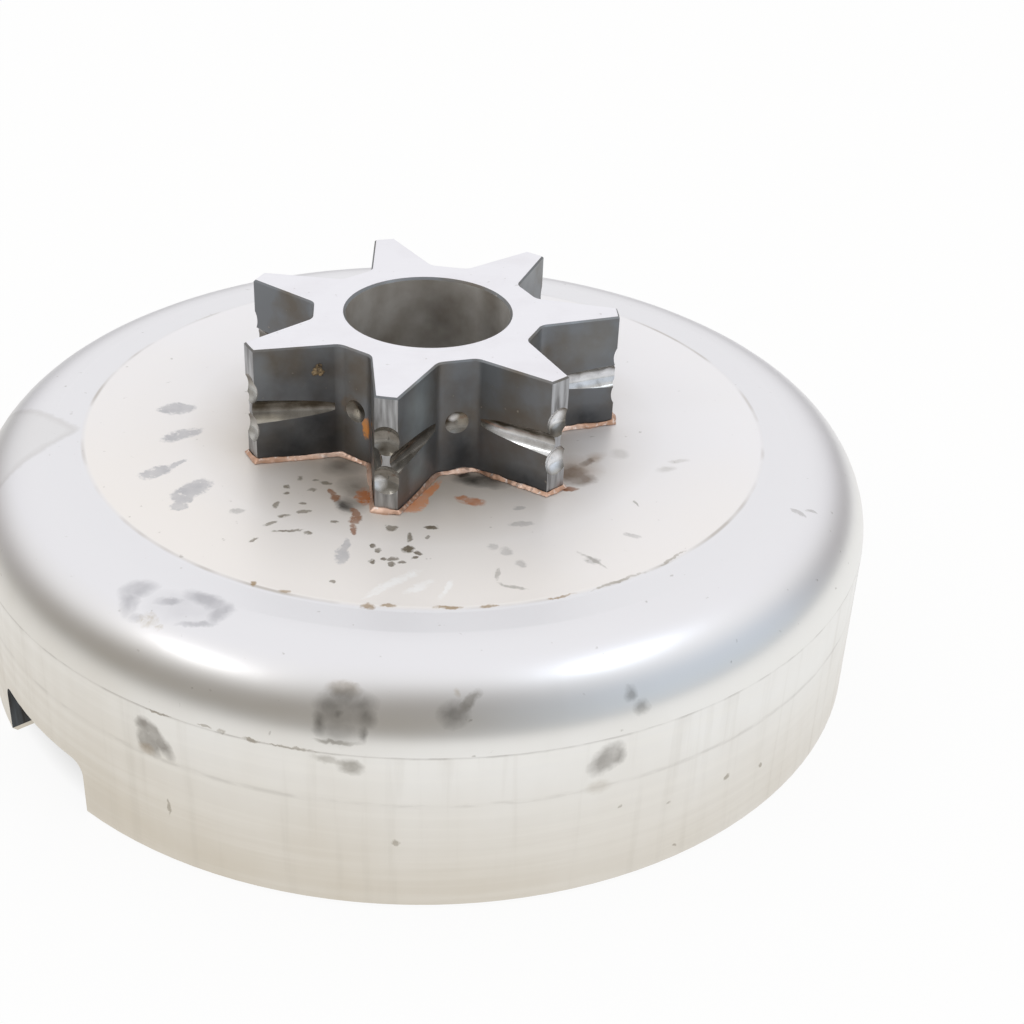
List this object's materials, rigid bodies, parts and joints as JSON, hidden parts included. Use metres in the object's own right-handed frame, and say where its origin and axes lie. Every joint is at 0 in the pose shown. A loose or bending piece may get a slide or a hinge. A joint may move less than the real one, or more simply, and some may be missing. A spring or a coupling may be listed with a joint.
{
  "type": "clutch drum with spur sprocket",
  "caption": "Open steel clutch drum for a chainsaw, with a turned wall, a rim notch and a worn spur sprocket brazed to its face to pull the saw chain.",
  "frame": {"origin": "centre of the open rim, on the plane that the drum stands on", "axes": "+Z along the drum's axis, from the open rim to the sprocket; -Y is the side the picture looks at"},
  "size_m": [0.078, 0.078, 0.0309],
  "materials": {
    "drum_steel": "drawn and turned, stained",
    "sprocket_steel": "hardened, ground top, worn bright in the chain's track",
    "braze_copper": "as run, grainy"
  },
  "bodies": {
    "root": {"clutch_drum": "drum_steel", "drive_sprocket": "sprocket_steel", "braze_fillet": "braze_copper"}
  },
  "joints": []
}
